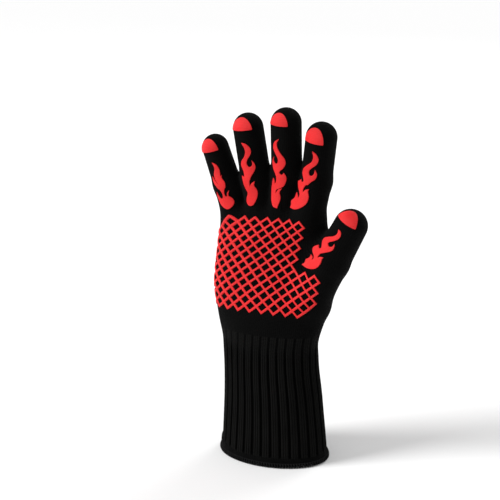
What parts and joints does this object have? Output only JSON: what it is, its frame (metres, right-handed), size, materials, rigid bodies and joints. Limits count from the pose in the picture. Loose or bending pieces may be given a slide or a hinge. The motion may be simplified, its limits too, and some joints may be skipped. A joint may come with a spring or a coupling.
{
  "type": "heat resistant glove",
  "caption": "Long-cuff knitted cooking glove with silicone flame, lattice and fingertip grips, cotton lined, jointed at the wrist and fingers.",
  "frame": {"origin": "centre of the cuff's mouth, on the surface the glove stands on", "axes": "+Z from the cuff's mouth to the fingertips, -Y out of the palm, +X towards the thumb"},
  "size_m": [0.1636, 0.0786, 0.3422],
  "materials": {
    "knit": "black aramid knit",
    "rib_knit": "black ribbed knit",
    "lining": "charcoal cotton lining",
    "hem_thread": "black overlock stitching",
    "silicone": "satin red silicone"
  },
  "bodies": {
    "cuff": {"cuff_knit": "rib_knit", "cuff_lining": "lining", "cuff_hem": "hem_thread"},
    "palm": {"palm_knit": "knit", "palm_lining": "lining", "palm_lattice": "silicone", "back_lattice": "silicone", "emblem_ring": "silicone", "emblem_tools": "silicone"},
    "little_lower": {"little_lower_knit": "knit", "little_lower_lining": "lining", "little_flame_palm": "silicone", "little_flame_back": "silicone"},
    "little_upper": {"little_upper_knit": "knit", "little_upper_lining": "lining", "little_pad_palm": "silicone", "little_pad_back": "silicone"},
    "ring_lower": {"ring_lower_knit": "knit", "ring_lower_lining": "lining", "ring_flame_palm": "silicone", "ring_flame_back": "silicone"},
    "ring_upper": {"ring_upper_knit": "knit", "ring_upper_lining": "lining", "ring_pad_palm": "silicone", "ring_pad_back": "silicone"},
    "middle_lower": {"middle_lower_knit": "knit", "middle_lower_lining": "lining", "middle_flame_palm": "silicone", "middle_flame_back": "silicone"},
    "middle_upper": {"middle_upper_knit": "knit", "middle_upper_lining": "lining", "middle_pad_palm": "silicone", "middle_pad_back": "silicone"},
    "index_lower": {"index_lower_knit": "knit", "index_lower_lining": "lining", "index_flame_palm": "silicone", "index_flame_back": "silicone"},
    "index_upper": {"index_upper_knit": "knit", "index_upper_lining": "lining", "index_pad_palm": "silicone", "index_pad_back": "silicone"},
    "thumb_lower": {"thumb_lower_knit": "knit", "thumb_lower_lining": "lining", "thumb_flame_palm": "silicone", "thumb_flame_back": "silicone"},
    "thumb_upper": {"thumb_upper_knit": "knit", "thumb_upper_lining": "lining", "thumb_pad_palm": "silicone", "thumb_pad_back": "silicone"}
  },
  "joints": [
    {"name": "wrist", "type": "hinge", "parent": "cuff", "child": "palm", "pos_m": [-0.0045, 0, 0.118], "axis": [1, 0, 0], "range_deg": [-25, 30]},
    {"name": "little_knuckle", "type": "hinge", "parent": "palm", "child": "little_lower", "pos_m": [0, 0, 0.254], "axis": [0.9992, 0, 0.04], "range_deg": [-8, 70]},
    {"name": "little_middle", "type": "hinge", "parent": "little_lower", "child": "little_upper", "pos_m": [-0.05108, -0.00426, 0.279], "axis": [0.9992, 0, 0.04], "range_deg": [0, 65], "deforming": ["little_flame_palm", "little_flame_back"]},
    {"name": "ring_knuckle", "type": "hinge", "parent": "palm", "child": "ring_lower", "pos_m": [0, 0, 0.254], "axis": [0.9992, 0, 0.04], "range_deg": [-8, 70]},
    {"name": "ring_middle", "type": "hinge", "parent": "ring_lower", "child": "ring_upper", "pos_m": [-0.0196, -0.00332, 0.286], "axis": [0.9992, 0, 0.04], "range_deg": [0, 65], "deforming": ["ring_flame_palm", "ring_flame_back"]},
    {"name": "middle_knuckle", "type": "hinge", "parent": "palm", "child": "middle_lower", "pos_m": [0, 0, 0.254], "axis": [0.9992, 0, 0.04], "range_deg": [-8, 70]},
    {"name": "middle_middle", "type": "hinge", "parent": "middle_lower", "child": "middle_upper", "pos_m": [0.01359, -0.00304, 0.29], "axis": [0.9992, 0, 0.04], "range_deg": [0, 65], "deforming": ["middle_flame_palm", "middle_flame_back"]},
    {"name": "index_knuckle", "type": "hinge", "parent": "palm", "child": "index_lower", "pos_m": [0, 0, 0.254], "axis": [0.9992, 0, 0.04], "range_deg": [-8, 70]},
    {"name": "index_middle", "type": "hinge", "parent": "index_lower", "child": "index_upper", "pos_m": [0.04545, -0.00356, 0.286], "axis": [0.9992, 0, 0.04], "range_deg": [0, 65], "deforming": ["index_flame_palm", "index_flame_back"]},
    {"name": "thumb_knuckle", "type": "hinge", "parent": "palm", "child": "thumb_lower", "pos_m": [0.0586, -0.0087, 0.1995], "axis": [0.8813, 0, -0.4726], "range_deg": [-5, 15], "deforming": ["thumb_flame_palm", "thumb_flame_back"]},
    {"name": "thumb_middle", "type": "hinge", "parent": "thumb_lower", "child": "thumb_upper", "pos_m": [0.0744, -0.0112, 0.229], "axis": [0.8813, 0, -0.4726], "range_deg": [0, 30], "deforming": ["thumb_flame_palm", "thumb_flame_back"]}
  ]
}
